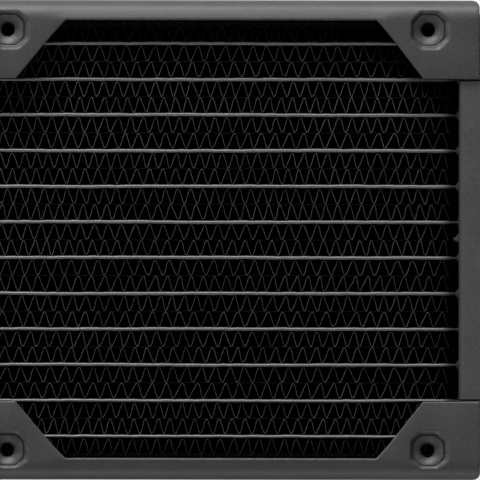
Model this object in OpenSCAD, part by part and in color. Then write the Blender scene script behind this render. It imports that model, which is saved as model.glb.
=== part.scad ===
// Liquid cooling radiator with fan bays in a row.
//
// A tube-and-fin core runs between a return tank at the +X end and a supply tank at the -X end. Two folded side
// rails hold the tanks and the core, and carry tapped fan plates on both faces, so fans mount above and below.
//
// Frame: X along the core, Y across it, Z through the thickness. The origin is the centre of the bounding box in
// X and Y, on its lowest plane in Z.

/* [Layout] */
// Number of fan bays in a row
bays = 2; // [1:1:3]
// Length of one fan bay along X
bay_len = 120; // [115:1:140]
// Spacing of the fan screws in a bay, along X and across Y
hole_span = 105; // [100:1:108]
// Width over the side rails
body_w = 120; // [117:1:130]
// Thickness over the fan mounting faces
body_t = 30; // [28:1:60]

/* [Side rails] */
// Thickness of the folded steel sheet
sheet = 1; // [0.8:0.1:1.4]
// Outer radius of the long folded edges
bend_r = 5; // [2:0.5:6]
// Width of the flange between the fan plates
flange_w = 4.9; // [4:0.1:7]
// Depth of a fan plate from the rail's outer face
plate_depth = 19.7; // [16:0.1:24]
// Length of rail past the end of the last bay
rail_over = 5.1; // [3:0.1:7]
// Corner radius of a rail end, seen from above
corner_r = 2; // [1.5:0.1:3]
// Reach of an end plate inboard of its screw, along its inner edge
end_plate_in = 1.2; // [0:0.1:4]
// Reach of an end plate inboard of its screw, where it meets the flange
end_plate_out = 12.9; // [8:0.1:16]
// Reach of a middle plate past its screw, along its inner edge
mid_plate_in = 2.1; // [0:0.1:4]
// Reach of a middle plate past its screw, where it meets the flange
mid_plate_out = 14.65; // [8:0.1:18]

/* [Fan screw seats] */
// Width of the eight-sided recess at the plate's face
recess_mouth = 10; // [9:0.1:11]
// Width of the eight-sided recess at its floor
recess_floor = 8; // [7:0.1:8.8]
// Depth of the recess
recess_depth = 0.95; // [0.5:0.05:1.2]
// Diameter of the conical dish in the recess floor
dish_d = 6.6; // [5:0.1:6.8]
// Depth of the conical dish
dish_depth = 0.7; // [0.3:0.1:1]
// Minor diameter of the M4 thread
screw_d = 3.3; // [2.5:0.1:3.6]
// Height of the tapped collar under the sheet
collar_h = 2.9; // [2:0.1:3]
// Width of the tapped collar over its flats
collar_w = 9.6; // [8.5:0.1:9.8]

/* [Core] */
// Number of flat tubes side by side
tube_count = 12; // [8:2:12]
// Thickness of a flat tube
tube_t = 1.15; // [1:0.05:2]
// Wall of a flat tube
tube_wall = 0.25; // [0.15:0.05:0.35]
// Depth of the tubes below each fan mounting face
core_drop = 4.5; // [4.3:0.1:6]
// Height of the tubes' edges beyond the fins
fin_drop = 0.5; // [0.3:0.1:1.5]
// Pitch of the fin folds along X
fin_pitch = 3; // [2:0.1:5]
// Thickness of the fin foil
fin_foil = 0.12; // [0.08:0.02:0.2]
// Thickness of the flat sheet between two fin strips
splitter_t = 0.15; // [0.1:0.05:0.3]
// Gap left for braze between core pieces
braze_gap = 0.02; // [0.01:0.01:0.05]
// Thickness of a core side plate
side_plate_t = 1; // [0.8:0.1:1.2]
// Clearance from a core side plate to the rail's wall
rail_gap = 0.5; // [0.2:0.1:1]

/* [Tanks] */
// Depth of the return tank along X
return_depth = 12.75; // [10:0.25:20]
// Depth of the supply tank along X
supply_depth = 23.75; // [20:0.25:40]
// Distance from the end of the last bay to a tank
tank_gap = 0.25; // [0.1:0.05:1]
// Step of a tank's sides in from the core's sides
tank_step = 0.9; // [0:0.1:2]
// Wall of a tank
tank_wall = 1; // [0.8:0.1:1.5]
// Radius of a tank's upright outer corners
tank_corner_r = 6; // [3:0.5:8]
// Radius of a tank's other edges
tank_edge_r = 2; // [1.6:0.1:3]
// Thickness of a header plate
header_t = 1.2; // [0.8:0.1:2]
// Length of tube that stands out of a header, inside its tank
tube_reach = 1; // [0.5:0.1:2]
// Thickness of the flow divider in the supply tank
divider_t = 1; // [0.8:0.1:2]

/* [Ports] */
// Distance of a port from the radiator's centre line
port_y = 27; // [20:1:35]
// Minor diameter of the G1/4 port thread
port_bore = 11.45; // [11.4:0.01:11.9]
// Diameter of a port bushing's flange
port_flange_d = 20; // [18:0.5:22]
// Height of the flange over the tank's end face
port_flange_h = 2; // [1.5:0.1:4]
// Diameter of a port bushing's barrel
port_barrel_d = 16; // [15:0.5:17]
// Length of the barrel inside the tank
port_barrel_in = 5; // [3:0.5:8]
// Width of the chamfer at a port's mouth
port_chamfer = 0.9; // [0.5:0.1:1]

/* [Hidden] */
$fn = 48;
eps = 0.01;

core_half = body_w/2 - sheet - rail_gap - side_plate_t;
tank_half = core_half - tank_step;
bay_edge = bays*bay_len/2;
rail_end = bay_edge + rail_over;
tank_x = bay_edge + tank_gap;
// The bounding box runs from the port flanges to the return tank, so the bays sit off its centre
shift_x = (supply_depth + port_flange_h - return_depth)/2;

flange_y = body_w/2 - flange_w;
plate_y = body_w/2 - plate_depth;
screw_y = hole_span/2;
screw_inset = (bay_len - hole_span)/2;

tube_gap = (2*core_half - tube_count*tube_t)/(tube_count + 1);
tube_pitch = tube_gap + tube_t;
tube_w = body_t - 2*core_drop;
tube_half_l = tank_x + header_t + tube_reach;
fin_w = tube_w - 2*fin_drop;
fin_half_l = tank_x - 2.25;
fin_folds = 2*floor(fin_half_l*2/fin_pitch);
fin_h = (tube_gap - splitter_t)/2 - 2*braze_gap;
fin_count = 2*(tube_count + 1);

function two_digits(n) = str(n < 10 ? "0" : "", n);
function tube_y(n) = (n - (tube_count + 1)/2)*tube_pitch;
// Strips are numbered from -Y: an odd strip lies under its gap's splitter sheet, an even one over it
function gap_y(n) = (floor((n - 1)/2) - tube_count/2)*tube_pitch;
function strip_y(n) = gap_y(n) + (n % 2 == 1 ? -1 : 1)*(splitter_t/2 + braze_gap + fin_h/2);

// --- shared shapes ---------------------------------------------------------------------------------------------

// The sliver that rounding takes off a square corner at the origin, whose sides run along -X and -Y
module corner_cut(r) {
    translate([-r, -r]) difference() {
        square(r + eps);
        circle(r);
    }
}

// Rectangle from (x0, y0) to (x1, y1), with both corners on its x1 side rounded
module end_rounded(x0, y0, x1, y1, r) {
    difference() {
        translate([x0, y0]) square([x1 - x0, y1 - y0]);
        translate([x1, y1]) corner_cut(r);
        translate([x1, y0]) mirror([0, 1]) corner_cut(r);
    }
}

// Outline drawn in Y and Z, extruded from x0 to x1
module along_x(x0, x1) {
    translate([x0, 0, 0]) rotate([90, 0, 90]) linear_extrude(x1 - x0) children();
}

// Outline drawn in X and Z, extruded from -half to +half in Y
module along_y(half) {
    translate([0, half, 0]) rotate([90, 0, 0]) linear_extrude(2*half) children();
}

// Flat tube's outline in Y and Z, centred on the thickness, with round edges
module flat_oval(t, w) {
    translate([-t/2, body_t/2 - (w - t)/2]) square([t, w - t]);
    for (s = [-1, 1])
        translate([0, body_t/2 + s*(w - t)/2]) circle(d = t, $fn = 24);
}

// Eight-sided prism or tapered block, by its widths over the flats, with its base at the origin
module eight_sided(base_w, top_w, h) {
    intersection_for (a = [0, 45, 90, 135])
        rotate(a) along_y(base_w + top_w)
            polygon([[-base_w/2, 0], [base_w/2, 0], [top_w/2, h], [-top_w/2, h]]);
}

// --- side rails ------------------------------------------------------------------------------------------------

// X of every fan screw
function screw_xs() = [for (b = [0:bays - 1], s = [-1, 1]) (b - (bays - 1)/2)*bay_len + s*hole_span/2];

// Outline of the +Y rail from above: the flange strip, a plate at each end, and one across each joint of two bays
module rail_plan() {
    end_screw = bay_edge - screw_inset;
    intersection() {
        union() {
            translate([-rail_end, flange_y]) square([2*rail_end, flange_w]);
            for (s = [-1, 1])
                polygon([
                    [s*rail_end, plate_y],
                    [s*(end_screw - end_plate_in), plate_y],
                    [s*(end_screw - end_plate_out), flange_y],
                    [s*rail_end, flange_y]
                ]);
            if (bays > 1)
                for (j = [1:bays - 1])
                    translate([j*bay_len - bay_edge, 0])
                        polygon([
                            [-screw_inset - mid_plate_in, plate_y],
                            [screw_inset + mid_plate_in, plate_y],
                            [screw_inset + mid_plate_out, flange_y],
                            [-screw_inset - mid_plate_out, flange_y]
                        ]);
        }
        rail_ends(0);
    }
}

// Rounded ends of the +Y rail from above, moved in by inset
module rail_ends(inset) {
    for (s = [0, 1]) mirror([s, 0])
        difference() {
            translate([-eps, 0]) square([rail_end - inset + eps, body_w/2 - inset]);
            translate([rail_end - inset, body_w/2 - inset]) corner_cut(corner_r - inset);
        }
}

// Section of the +Y rail across X, filled, moved in by inset
module rail_section(inset) {
    end_rounded(0, inset, body_w/2 - inset, body_t - inset, bend_r - inset);
}

// Fan screw seats of both faces, at the screw positions of the +Y rail
module at_seats() {
    for (x = screw_xs()) {
        translate([x, screw_y, body_t]) children();
        translate([x, screw_y, 0]) rotate([180, 0, 0]) children();
    }
}

module rail() {
    difference() {
        union() {
            difference() {
                intersection() {
                    along_x(-rail_end, rail_end) rail_section(0);
                    linear_extrude(body_t) rail_plan();
                }
                intersection() {
                    along_x(-rail_end, rail_end) rail_section(sheet);
                    linear_extrude(body_t) rail_ends(sheet);
                }
                // The tanks and the core pass between the end lips
                translate([-rail_end - 1, 0, sheet])
                    cube([2*rail_end + 2, core_half, body_t - 2*sheet]);
            }
            at_seats() translate([0, 0, -sheet - collar_h]) eight_sided(collar_w, collar_w, collar_h + sheet/2);
        }
        at_seats() {
            translate([0, 0, -recess_depth])
                eight_sided(recess_floor, recess_floor + (recess_mouth - recess_floor)*2, 2*recess_depth);
            translate([0, 0, -recess_depth - dish_depth])
                cylinder(d1 = screw_d, d2 = dish_d, h = dish_depth + eps);
            translate([0, 0, -sheet - collar_h - 1]) cylinder(d = screw_d, h = collar_h + 2);
        }
    }
}

module side_rail_left() {
    color("#3f3f41") translate([shift_x, 0, 0]) rail();
}

module side_rail_right() {
    color("#3f3f41") translate([shift_x, 0, 0]) mirror([0, 1, 0]) rail();
}

// --- core ------------------------------------------------------------------------------------------------------

module core_side_plate(side) {
    half_l = bay_edge + rail_over - sheet - 0.1;
    color("#333335")
        translate([shift_x - half_l, side > 0 ? core_half : -core_half - side_plate_t, core_drop])
            cube([2*half_l, side_plate_t, tube_w]);
}

module tube(n) {
    color("#4a4a4c") translate([shift_x, tube_y(n), 0])
        along_x(-tube_half_l, tube_half_l)
            difference() {
                flat_oval(tube_t, tube_w);
                flat_oval(tube_t - 2*tube_wall, tube_w - 2*tube_wall);
            }
}

// Folded foil from above: two zigzag lines a foil's thickness apart, centred on the strip
module fin_outline() {
    step = 2*fin_half_l/fin_folds;
    rise = fin_foil*sqrt(1 + pow(fin_h/step, 2));
    crest = (fin_h - rise)/2;
    function zigzag(i, dy) = [i*step - fin_half_l, (i % 2 == 0 ? -crest : crest) + dy];
    polygon(concat(
        [for (i = [0:fin_folds]) zigzag(i, rise/2)],
        [for (i = [fin_folds:-1:0]) zigzag(i, -rise/2)]
    ));
}

module fin_strip(n) {
    color("#2b2b2d") translate([shift_x, strip_y(n), core_drop + fin_drop])
        linear_extrude(fin_w) fin_outline();
}

module fin_splitters() {
    color("#2b2b2d")
        for (n = [1:2:fin_count])
            translate([shift_x - fin_half_l, gap_y(n) - splitter_t/2, core_drop + fin_drop])
                cube([2*fin_half_l, splitter_t, fin_w]);
}

// --- tanks -----------------------------------------------------------------------------------------------------

// Tank's filled shape at the +X end, moved in by inset, open end on the tank_x plane
module tank_solid(depth, inset) {
    half_w = tank_half - inset;
    x1 = tank_x + depth - inset;
    z0 = sheet + inset;
    z1 = body_t - sheet - inset;
    intersection() {
        translate([0, 0, z0]) linear_extrude(z1 - z0)
            end_rounded(tank_x - inset, -half_w, x1, half_w, tank_corner_r - inset);
        along_y(half_w) end_rounded(tank_x - inset, z0, x1, z1, tank_edge_r - inset);
        along_x(tank_x - inset, x1) header_outline(inset);
    }
}

// Tank's outline in Y and Z, moved in by inset
module header_outline(inset) {
    for (s = [0, 1]) mirror([s, 0])
        end_rounded(-eps, sheet + inset, tank_half - inset, body_t - sheet - inset, tank_edge_r - inset);
}

module tank(depth) {
    difference() {
        tank_solid(depth, 0);
        tank_solid(depth, tank_wall);
    }
}

module header() {
    difference() {
        along_x(tank_x, tank_x + header_t) header_outline(tank_wall);
        for (n = [1:tube_count])
            translate([0, tube_y(n), 0])
                along_x(tank_x - 1, tank_x + header_t + 1)
                    flat_oval(tube_t + 2*braze_gap, tube_w + 2*braze_gap);
    }
}

module return_tank() {
    color("#464648") translate([shift_x, 0, 0]) tank(return_depth);
}

module return_header() {
    color("#464648") translate([shift_x, 0, 0]) header();
}

module supply_tank() {
    color("#464648") translate([shift_x, 0, 0]) mirror([1, 0, 0])
        difference() {
            tank(supply_depth);
            for (s = [-1, 1])
                translate([tank_x + supply_depth - tank_wall - 1, s*port_y, body_t/2])
                    rotate([0, 90, 0]) cylinder(d = port_barrel_d, h = tank_wall + 2);
        }
}

module supply_header() {
    color("#464648") translate([shift_x, 0, 0]) mirror([1, 0, 0]) header();
}

// The divider parts the supply tank into an inlet half and an outlet half
module flow_divider() {
    color("#464648") translate([shift_x, 0, 0]) mirror([1, 0, 0])
        intersection() {
            tank_solid(supply_depth, tank_wall);
            translate([tank_x + header_t, -divider_t/2, 0]) cube([supply_depth, divider_t, body_t]);
        }
}

// Threaded bushing through the supply tank's end wall, on the side of the centre line that side gives
module port_bushing(side) {
    face_x = tank_x + supply_depth;
    color("#4b4b4d") translate([shift_x, side*port_y, body_t/2]) mirror([1, 0, 0]) rotate([0, 90, 0])
        difference() {
            union() {
                translate([0, 0, face_x]) cylinder(d = port_flange_d, h = port_flange_h);
                translate([0, 0, face_x - port_barrel_in]) cylinder(d = port_barrel_d, h = port_barrel_in + eps);
            }
            translate([0, 0, face_x - port_barrel_in - 1])
                cylinder(d = port_bore, h = port_barrel_in + port_flange_h + 2);
            translate([0, 0, face_x + port_flange_h - port_chamfer])
                cylinder(d1 = port_bore, d2 = port_bore + 2*port_chamfer, h = port_chamfer + eps);
        }
}

// --- assembly --------------------------------------------------------------------------------------------------

side_rail_left();
side_rail_right();
core_side_plate(1);  // core_side_plate_left
core_side_plate(-1);  // core_side_plate_right
return_tank();
supply_tank();
return_header();
supply_header();
flow_divider();
port_bushing(1);  // inlet_port_bushing
port_bushing(-1);  // outlet_port_bushing
fin_splitters();
for (n = [1:tube_count])
    tube(n);
for (n = [1:fin_count])
    fin_strip(n);
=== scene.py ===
"""Looks of a liquid cooling radiator: folded side rails, two tanks and a tube-and-fin core.

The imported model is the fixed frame. Every shape below is a numpy surface in millimetres in that frame, with
X along the core, Y across it and Z through its thickness, and becomes metres when its mesh is made.
"""
import logging
import math
from dataclasses import dataclass, field
from enum import Enum
from typing import Any, ClassVar, Sequence

import bpy
import numpy as np
from mathutils import Matrix, Vector
from mathutils.geometry import delaunay_2d_cdt


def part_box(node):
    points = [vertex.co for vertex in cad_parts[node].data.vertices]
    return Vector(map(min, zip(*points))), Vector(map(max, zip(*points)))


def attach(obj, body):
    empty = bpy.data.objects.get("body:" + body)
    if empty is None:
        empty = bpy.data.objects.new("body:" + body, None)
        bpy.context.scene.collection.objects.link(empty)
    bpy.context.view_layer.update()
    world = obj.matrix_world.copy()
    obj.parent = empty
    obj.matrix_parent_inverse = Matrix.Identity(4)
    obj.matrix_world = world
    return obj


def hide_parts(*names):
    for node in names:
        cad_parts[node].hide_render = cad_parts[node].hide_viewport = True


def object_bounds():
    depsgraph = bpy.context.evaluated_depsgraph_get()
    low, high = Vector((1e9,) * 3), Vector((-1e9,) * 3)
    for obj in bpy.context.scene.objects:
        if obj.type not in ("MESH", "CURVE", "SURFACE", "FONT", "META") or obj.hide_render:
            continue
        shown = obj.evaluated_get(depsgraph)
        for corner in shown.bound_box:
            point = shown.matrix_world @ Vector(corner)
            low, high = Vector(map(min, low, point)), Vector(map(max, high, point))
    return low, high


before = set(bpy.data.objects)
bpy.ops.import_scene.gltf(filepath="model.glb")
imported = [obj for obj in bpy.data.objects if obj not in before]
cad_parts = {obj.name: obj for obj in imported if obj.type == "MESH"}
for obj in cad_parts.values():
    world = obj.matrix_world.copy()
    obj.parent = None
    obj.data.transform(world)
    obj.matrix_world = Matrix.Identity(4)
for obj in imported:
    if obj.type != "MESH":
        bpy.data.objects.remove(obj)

CAD_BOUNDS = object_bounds()
log = logging.getLogger("radiator")
MM = 0.001
TURN = 2 * math.pi
QUARTER = math.pi / 2
HAIR = 0.03  # Distance in millimetres at which a folded edge ends under the rail's full height.
CRISP = 40.0  # Power of the sum in eight_sided; a larger one has sharper corners.
SLACK = 1.05  # Distance of the slanted flats in eight_sided, as a multiple of the others.
ARC_STEP = 0.25  # Largest distance in millimetres between two points on an outline's arc.
Array = np.ndarray
Numbers = Array | Sequence[float]
Colour = tuple[float, float, float, float]


def limits(node: str) -> tuple[Array, Array]:
    """Lowest and highest corner of a CAD node in millimetres."""
    low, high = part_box(node)
    return np.array(low) / MM, np.array(high) / MM


def middle(node: str) -> Array:
    """Middle of a CAD node's box in millimetres."""
    return sum(limits(node)) / 2


CORE_X = float(middle("tube_01")[0])


# --- shader wiring ---


class Wire:
    """An output socket of a shader node, with arithmetic that adds Math nodes to its tree."""

    def __init__(self, tree: "ShaderTree", socket: bpy.types.NodeSocket) -> None:
        """Keeps the tree that new nodes go into, and the socket."""
        self.tree, self.socket = tree, socket

    def __add__(self, other: Any) -> "Wire":
        """This wire plus other."""
        return self.tree.math("ADD", self, other)

    def __radd__(self, other: Any) -> "Wire":
        """Other plus this wire."""
        return self.tree.math("ADD", other, self)

    def __sub__(self, other: Any) -> "Wire":
        """This wire minus other."""
        return self.tree.math("SUBTRACT", self, other)

    def __rsub__(self, other: Any) -> "Wire":
        """Other minus this wire."""
        return self.tree.math("SUBTRACT", other, self)

    def __mul__(self, other: Any) -> "Wire":
        """This wire times other."""
        return self.tree.math("MULTIPLY", self, other)

    def __rmul__(self, other: Any) -> "Wire":
        """Other times this wire."""
        return self.tree.math("MULTIPLY", other, self)

    def __truediv__(self, other: Any) -> "Wire":
        """This wire divided by other."""
        return self.tree.math("DIVIDE", self, other)

    def __rtruediv__(self, other: Any) -> "Wire":
        """Other divided by this wire."""
        return self.tree.math("DIVIDE", other, self)

    def apply(self, operation: str, other: Any = 0.0) -> "Wire":
        """Result of another Math operation on this wire, with other as its second operand."""
        return self.tree.math(operation, self, other)

    def clamped(self) -> "Wire":
        """This wire kept between 0 and 1."""
        return self.tree.math("ADD", self, 0.0, clamp=True)

    def ramp(self, start: float, end: float, low: float = 0.0, high: float = 1.0) -> "Wire":
        """This wire mapped from start..end onto low..high, smooth at both ends and clamped."""
        inputs = {"Value": self, "From Min": start, "From Max": end, "To Min": low, "To Max": high}
        return self.tree.add("ShaderNodeMapRange", {"interpolation_type": "SMOOTHSTEP"}, inputs)


class ShaderTree:
    """A node tree under construction, where each node is made by one call."""

    def __init__(self, tree: bpy.types.NodeTree) -> None:
        """Keeps the node tree of a material or a world, and empties it."""
        self.tree = tree
        tree.nodes.clear()

    def node(self, kind: str, settings: dict[str, Any], inputs: dict[Any, Any]) -> bpy.types.Node:
        """Adds one node: its type, then its settings, then its inputs.

        Args:
            kind: Blender's type name of the node.
            settings: Attributes of the node, set before any input.
            inputs: Input socket by name or number, each a wire or a constant.

        Returns:
            The new node.
        """
        made = self.tree.nodes.new(kind)
        for key, value in settings.items():
            setattr(made, key, value)
        for key, value in inputs.items():
            if isinstance(value, Wire):
                self.tree.links.new(value.socket, made.inputs[key])
            else:
                made.inputs[key].default_value = value
        return made

    def add(self, kind: str, settings: dict[str, Any], inputs: dict[Any, Any], output: Any = 0) -> Wire:
        """The wire from one output, by name or number, of a node that this adds as node() does."""
        return Wire(self, self.node(kind, settings, inputs).outputs[output])

    def math(self, operation: str, first: Any, second: Any, clamp: bool = False) -> Wire:
        """Result of a Math operation on two wires or numbers, kept between 0 and 1 if clamp is True."""
        settings = {"operation": operation, "use_clamp": clamp}
        return self.add("ShaderNodeMath", settings, {0: first, 1: second})

    def place(self) -> Wire:
        """Position on the object, in metres, in the shared frame."""
        return self.add("ShaderNodeTexCoord", {}, {}, "Object")

    def axis(self, place: Wire, name: str) -> Wire:
        """One component of a position, named X, Y or Z."""
        return self.add("ShaderNodeSeparateXYZ", {}, {0: place}, name)

    def from_middle(self, place: Wire) -> Wire:
        """Distance in millimetres along X from the core's middle."""
        return (self.axis(place, "X") * 1000.0 - CORE_X).apply("ABSOLUTE")

    def stretched(self, place: Wire, scale: tuple[float, float, float]) -> Wire:
        """A position scaled by another factor along each axis."""
        return self.add("ShaderNodeVectorMath", {"operation": "MULTIPLY"}, {0: place, 1: scale})

    def noise(self, place: Wire, size: float, detail: float = 2.0, rough: float = 0.5) -> Wire:
        """Noise between 0 and 1, with blotches of a size in millimetres and finer layers on them."""
        inputs = {"Vector": place, "Scale": 1 / (size * MM), "Detail": detail, "Roughness": rough}
        return self.add("ShaderNodeTexNoise", {"normalize": True}, inputs)

    def cells(self, place: Wire, size: float) -> Wire:
        """Distance to the nearest of scattered points, in cells of a size in millimetres."""
        return self.add("ShaderNodeTexVoronoi", {}, {"Vector": place, "Scale": 1 / (size * MM)}, "Distance")

    def mixed(self, factor: Any, first: Any, second: Any) -> Wire:
        """Blend of two colours or wires: the first at factor 0, the second at factor 1."""
        settings = {"data_type": "RGBA", "clamp_factor": True}
        return self.add("ShaderNodeMix", settings, {0: factor, 6: first, 7: second}, 2)

    def bumped(self, height: Wire, depth: float) -> Wire:
        """Normal bent by a height, of which 0 to 1 stands for a depth in millimetres."""
        return self.add("ShaderNodeBump", {}, {"Distance": depth * MM, "Height": height}, "Normal")

    def ray(self, kind: str) -> Wire:
        """1 on rays of a kind, such as Camera, and 0 on all others."""
        return self.add("ShaderNodeLightPath", {}, {}, "Is " + kind + " Ray")

    def beheld(self) -> Wire:
        """1 on rays from the camera and on rays reflected or let through, 0 on all others."""
        return (self.ray("Camera") + self.ray("Glossy") + self.ray("Transmission")).clamped()

    def attribute(self, name: str) -> Wire:
        """Value of a mesh attribute."""
        return self.add("ShaderNodeAttribute", {"attribute_name": name}, {}, "Fac")

    def principled(self, inputs: dict[Any, Any]) -> Wire:
        """A Principled shader with those inputs."""
        return self.add("ShaderNodeBsdfPrincipled", {}, inputs)


def grey(value: float, warm: float = 0.0) -> Colour:
    """A neutral colour of a linear brightness, of which red gains and blue loses the share warm."""
    return (value * (1 + warm), value, value * (1 - warm), 1.0)


def new_material(name: str) -> tuple[bpy.types.Material, ShaderTree]:
    """Makes a material.

    Args:
        name: Its name.

    Returns:
        The material and its empty node tree.
    """
    material = bpy.data.materials.new(name)
    material.use_nodes = True
    return material, ShaderTree(material.node_tree)


# --- finishes ---


@dataclass(frozen=True)
class Finish:
    """A material of one Principled shader, on Object coordinates and the mesh attribute "edge".

    Attributes:
        name: Name of the material.
    """

    name: str

    def sockets(self, t: ShaderTree, place: Wire) -> dict[str, Any]:
        """The value or wire of each input of the shader, in tree t at a place, which each finish gives."""
        raise NotImplementedError

    def build(self) -> bpy.types.Material:
        """Makes the material.

        Returns:
            The new material.
        """
        material, t = new_material(self.name)
        t.node("ShaderNodeOutputMaterial", {}, {"Surface": t.principled(self.sockets(t, t.place()))})
        return material


@dataclass(frozen=True)
class Paint(Finish):
    """Sprayed black enamel over metal, with orange peel, dust nibs and rubbed edges that are partly a painted
    highlight.

    Attributes:
        dark: Linear brightness of the paint where it is thickest.
        light: Linear brightness where it is thinnest.
        rough: Roughness of the paint.
        peel: Size of one orange-peel dimple in millimetres.
        worn: Linear brightness where edges are rubbed and painted with a highlight.
        wear: Share of the edges that is rubbed and painted with that highlight.
        spec: Specular level of the enamel.
        clear: Distance in millimetres from the core's middle along X past which painted shade darkens the
        paint and it is rougher, and which is less near the rail at +Y, where it paints a fan plate's shadow,
        or 0 for none.
        mouth: Distance from there of an open edge, where the paint is darkened as painted shade, or 0 for
            none.
    """

    dark: float
    light: float
    rough: float = 0.45
    peel: float = 0.55
    worn: float = 0.09
    wear: float = 0.5
    spec: float = 0.3
    clear: float = 0.0
    mouth: float = 0.0

    def sockets(self, t: ShaderTree, place: Wire) -> dict[str, Any]:
        """Blends dark and light paint by three sizes of noise, then adds rubbed edges with a painted
        highlight, nibs and painted shade.

        Args:
            t: The material's node tree.
            place: Position on the object.

        Returns:
            The value or wire of each input socket, by name.
        """
        cloud = t.noise(place, 14.0, 3.0, 0.55)
        grain = t.noise(place, self.peel, 3.0, 0.6)
        nibs = 1.0 - t.cells(place, 2.6).ramp(0.0, 0.09)
        speck = t.noise(place, self.peel * 0.5, 2.0, 0.7)
        tone = cloud.ramp(0.3, 0.7) * 0.25 + grain.ramp(0.35, 0.65) * 0.3 + speck.ramp(0.38, 0.62) * 0.45
        colour = t.mixed(tone.clamped(), grey(self.dark), grey(self.light, 0.004))
        # Rubbed edges along the mesh attribute edge: wear, and partly a painted highlight on the edges.
        rub = (t.attribute("edge") * t.noise(place, 1.3, 4.0, 0.7).ramp(0.42, 0.66) * self.wear).clamped()
        colour = t.mixed(rub, colour, grey(self.worn, 0.01))
        colour = t.mixed(nibs * 0.3, colour, grey(self.light * 1.9))
        rough = self.rough + cloud.ramp(0.25, 0.75) * 0.07 + grain * 0.1 - rub * 0.12 - 0.07
        # Painted shade on the tanks' rolled open edges, which are also made rougher.
        if self.mouth:
            mouth_shade = 1.0 - t.from_middle(place).ramp(self.mouth, self.mouth + 0.7)
            colour, rough = t.mixed(mouth_shade * 0.85, colour, grey(0.004)), rough + mouth_shade * 0.3
        # Painted shade: near black towards the headers, starting earlier under the +Y fan plates as their
        # painted shadow.
        if self.clear:
            tube_plate_shadow = t.axis(place, "Y").ramp(0.036, 0.039) * 9.5
            end_shade = (t.from_middle(place) + tube_plate_shadow).ramp(self.clear, self.clear + 4.2)
            colour, rough = t.mixed(end_shade * 0.92, colour, grey(0.003)), rough + end_shade * 0.45
        height = (grain * 0.75 + t.noise(place, self.peel * 0.35) * 0.25 + nibs * 0.35).clamped()
        return {
            "Base Color": colour,
            "Roughness": rough.clamped(),
            "Specular IOR Level": self.spec,
            "Normal": t.bumped(height, 0.02),
        }


@dataclass(frozen=True)
class FoilPaint(Finish):
    """Thin sprayed black coat on foil fins, with a painted highlight on the edges and painted shade on the
    deep faces.

    The edges are kept dark towards the tanks and the rails and behind a fan plate's corner by painted
    shade and shadow, and lighter towards +Y by painted light.

    Attributes:
        deep: Linear brightness of the faces between the folds, near black as painted shade.
        edge: Linear brightness of the edges, a painted highlight.
        rough: Roughness of the coat.
        reach: Half length of the foil in millimetres.
    """

    deep: float
    edge: float
    rough: float = 0.5
    reach: float = 118.0

    def sockets(self, t: ShaderTree, place: Wire) -> dict[str, Any]:
        """Blends the deep and the edge colour by the attribute, noise and the painted shade and light at the
        place.

        Args:
            t: The material's node tree.
            place: Position on the object.

        Returns:
            The value or wire of each input socket, by name.
        """
        speck, drift = t.noise(place, 0.9, 3.0, 0.6), t.noise(place, 9.0)
        side, along = t.axis(place, "Y") * 1000.0, t.from_middle(place)
        # Painted shade near the rails, the tanks and behind a fan plate's corner, and painted light towards
        # +Y.
        rail_shade = side.ramp(49.0, 50.5, 1.0, 0.14) * side.ramp(-54.3, -49.3, 0.05, 1.0)
        tank_shade = along.ramp(self.reach - 9.0, self.reach, 1.0, 0.25)
        plate_shadow = 1.0 - (along + side * 1.35).ramp(158.5, 163.5) * 0.93
        painted_light_share = rail_shade * tank_shade * plate_shadow * side.ramp(15.0, 38.0, 1.0, 1.3)
        tone = (speck.ramp(0.25, 0.75) * 0.45 + drift.ramp(0.3, 0.7) * 0.4 + 0.35) * t.attribute("edge")
        louvre = t.add(
            "ShaderNodeTexWave",
            {"wave_type": "BANDS", "bands_direction": "Z", "wave_profile": "SIN"},
            {"Vector": place, "Scale": 260.0, "Distortion": 0.4, "Detail": 1.0},
            "Fac",
        )
        return {
            "Base Color": t.mixed((tone * painted_light_share).clamped(), grey(self.deep), grey(self.edge, 0.005)),
            "Roughness": (self.rough + speck * 0.15 - 0.07).clamped(),
            "Specular IOR Level": 0.12,
            "Normal": t.bumped(louvre * 0.6 + speck * 0.4, 0.03),
        }


@dataclass(frozen=True)
class PlatedBrass(Finish):
    """Black-plated turned brass, with fine lathe rings and bright wear on its thread crests.

    Attributes:
        plate: Linear brightness of the plating.
        brass: Colour of the metal under it.
        rough: Roughness of the plating.
    """

    plate: float
    brass: Colour
    rough: float = 0.32

    def sockets(self, t: ShaderTree, place: Wire) -> dict[str, Any]:
        """Blends plating and bare brass by the attribute and noise, over rings round the port's axis.

        Args:
            t: The material's node tree.
            place: Position on the object.

        Returns:
            The value or wire of each input socket, by name.
        """
        fine = t.noise(place, 0.5, 4.0, 0.65)
        rub = (t.attribute("edge") * fine.ramp(0.45, 0.65) * 0.5).clamped()
        plating = t.mixed(fine.ramp(0.3, 0.7), grey(self.plate * 0.8), grey(self.plate * 1.2))
        turned = t.noise(t.stretched(place, (0.15, 1.0, 1.0)), 0.35)
        return {
            "Base Color": t.mixed(rub, plating, self.brass),
            "Metallic": 0.75,
            "Roughness": (self.rough + fine * 0.12).clamped(),
            "Normal": t.bumped(turned, 0.012),
        }


# --- meshes ---


def stacked(*parts: Any) -> Array:
    """Numbers and arrays of matching shapes as one array, whose last axis runs over them."""
    return np.stack(np.broadcast_arrays(*parts), axis=-1)


def unit(vectors: Array) -> Array:
    """The same directions with a length of 1: each vector over its own length."""
    return vectors / np.linalg.norm(vectors, axis=-1, keepdims=True)


def circle(count: int) -> Array:
    """Angles of points spread evenly round a circle: whole steps over their count, times a full turn."""
    return np.arange(count) / count * TURN


def fall(radius: Any, reach: Any) -> Array:
    """How far a circle has fallen at a reach from its top: radius - sqrt(radius^2 - reach^2)."""
    return radius - np.sqrt(np.maximum(radius**2 - np.square(reach), 0))


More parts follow.
